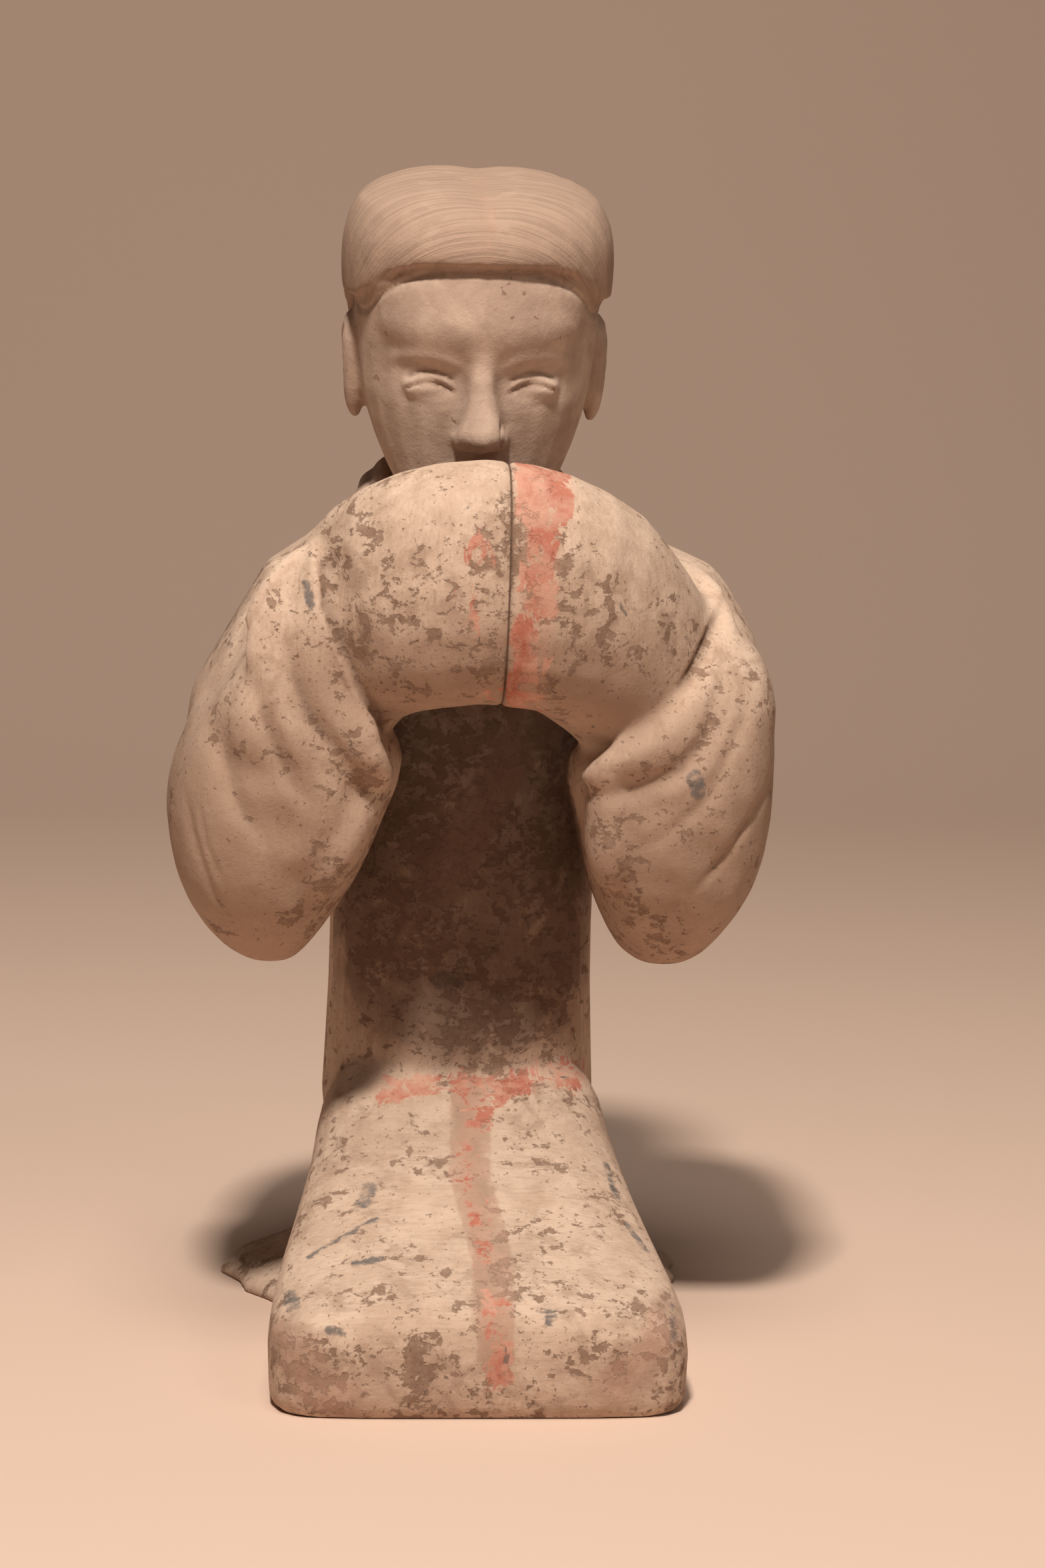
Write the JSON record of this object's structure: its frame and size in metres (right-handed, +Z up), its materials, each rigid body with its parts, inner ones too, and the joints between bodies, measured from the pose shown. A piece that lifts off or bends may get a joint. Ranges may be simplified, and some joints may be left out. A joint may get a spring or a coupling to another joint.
{
  "type": "pottery musician figurine",
  "caption": "Kneeling pottery figurine of a wind player: forearms raised so that wide sleeves meet before the mouth, head bowed, robe spread behind on a flat underside.",
  "frame": {"origin": "on the ground under the middle of the figurine's bounding box", "axes": "+Z up, the figure faces -Y with its knees forward, its left side is +X"},
  "size_m": [0.1794, 0.2076, 0.348],
  "materials": {
    "painted_pottery": "matt unglazed earthenware under worn cream slip, with traces of red paint and brown and slate spots"
  },
  "bodies": {
    "root": {"figurine": "painted_pottery"}
  },
  "joints": []
}
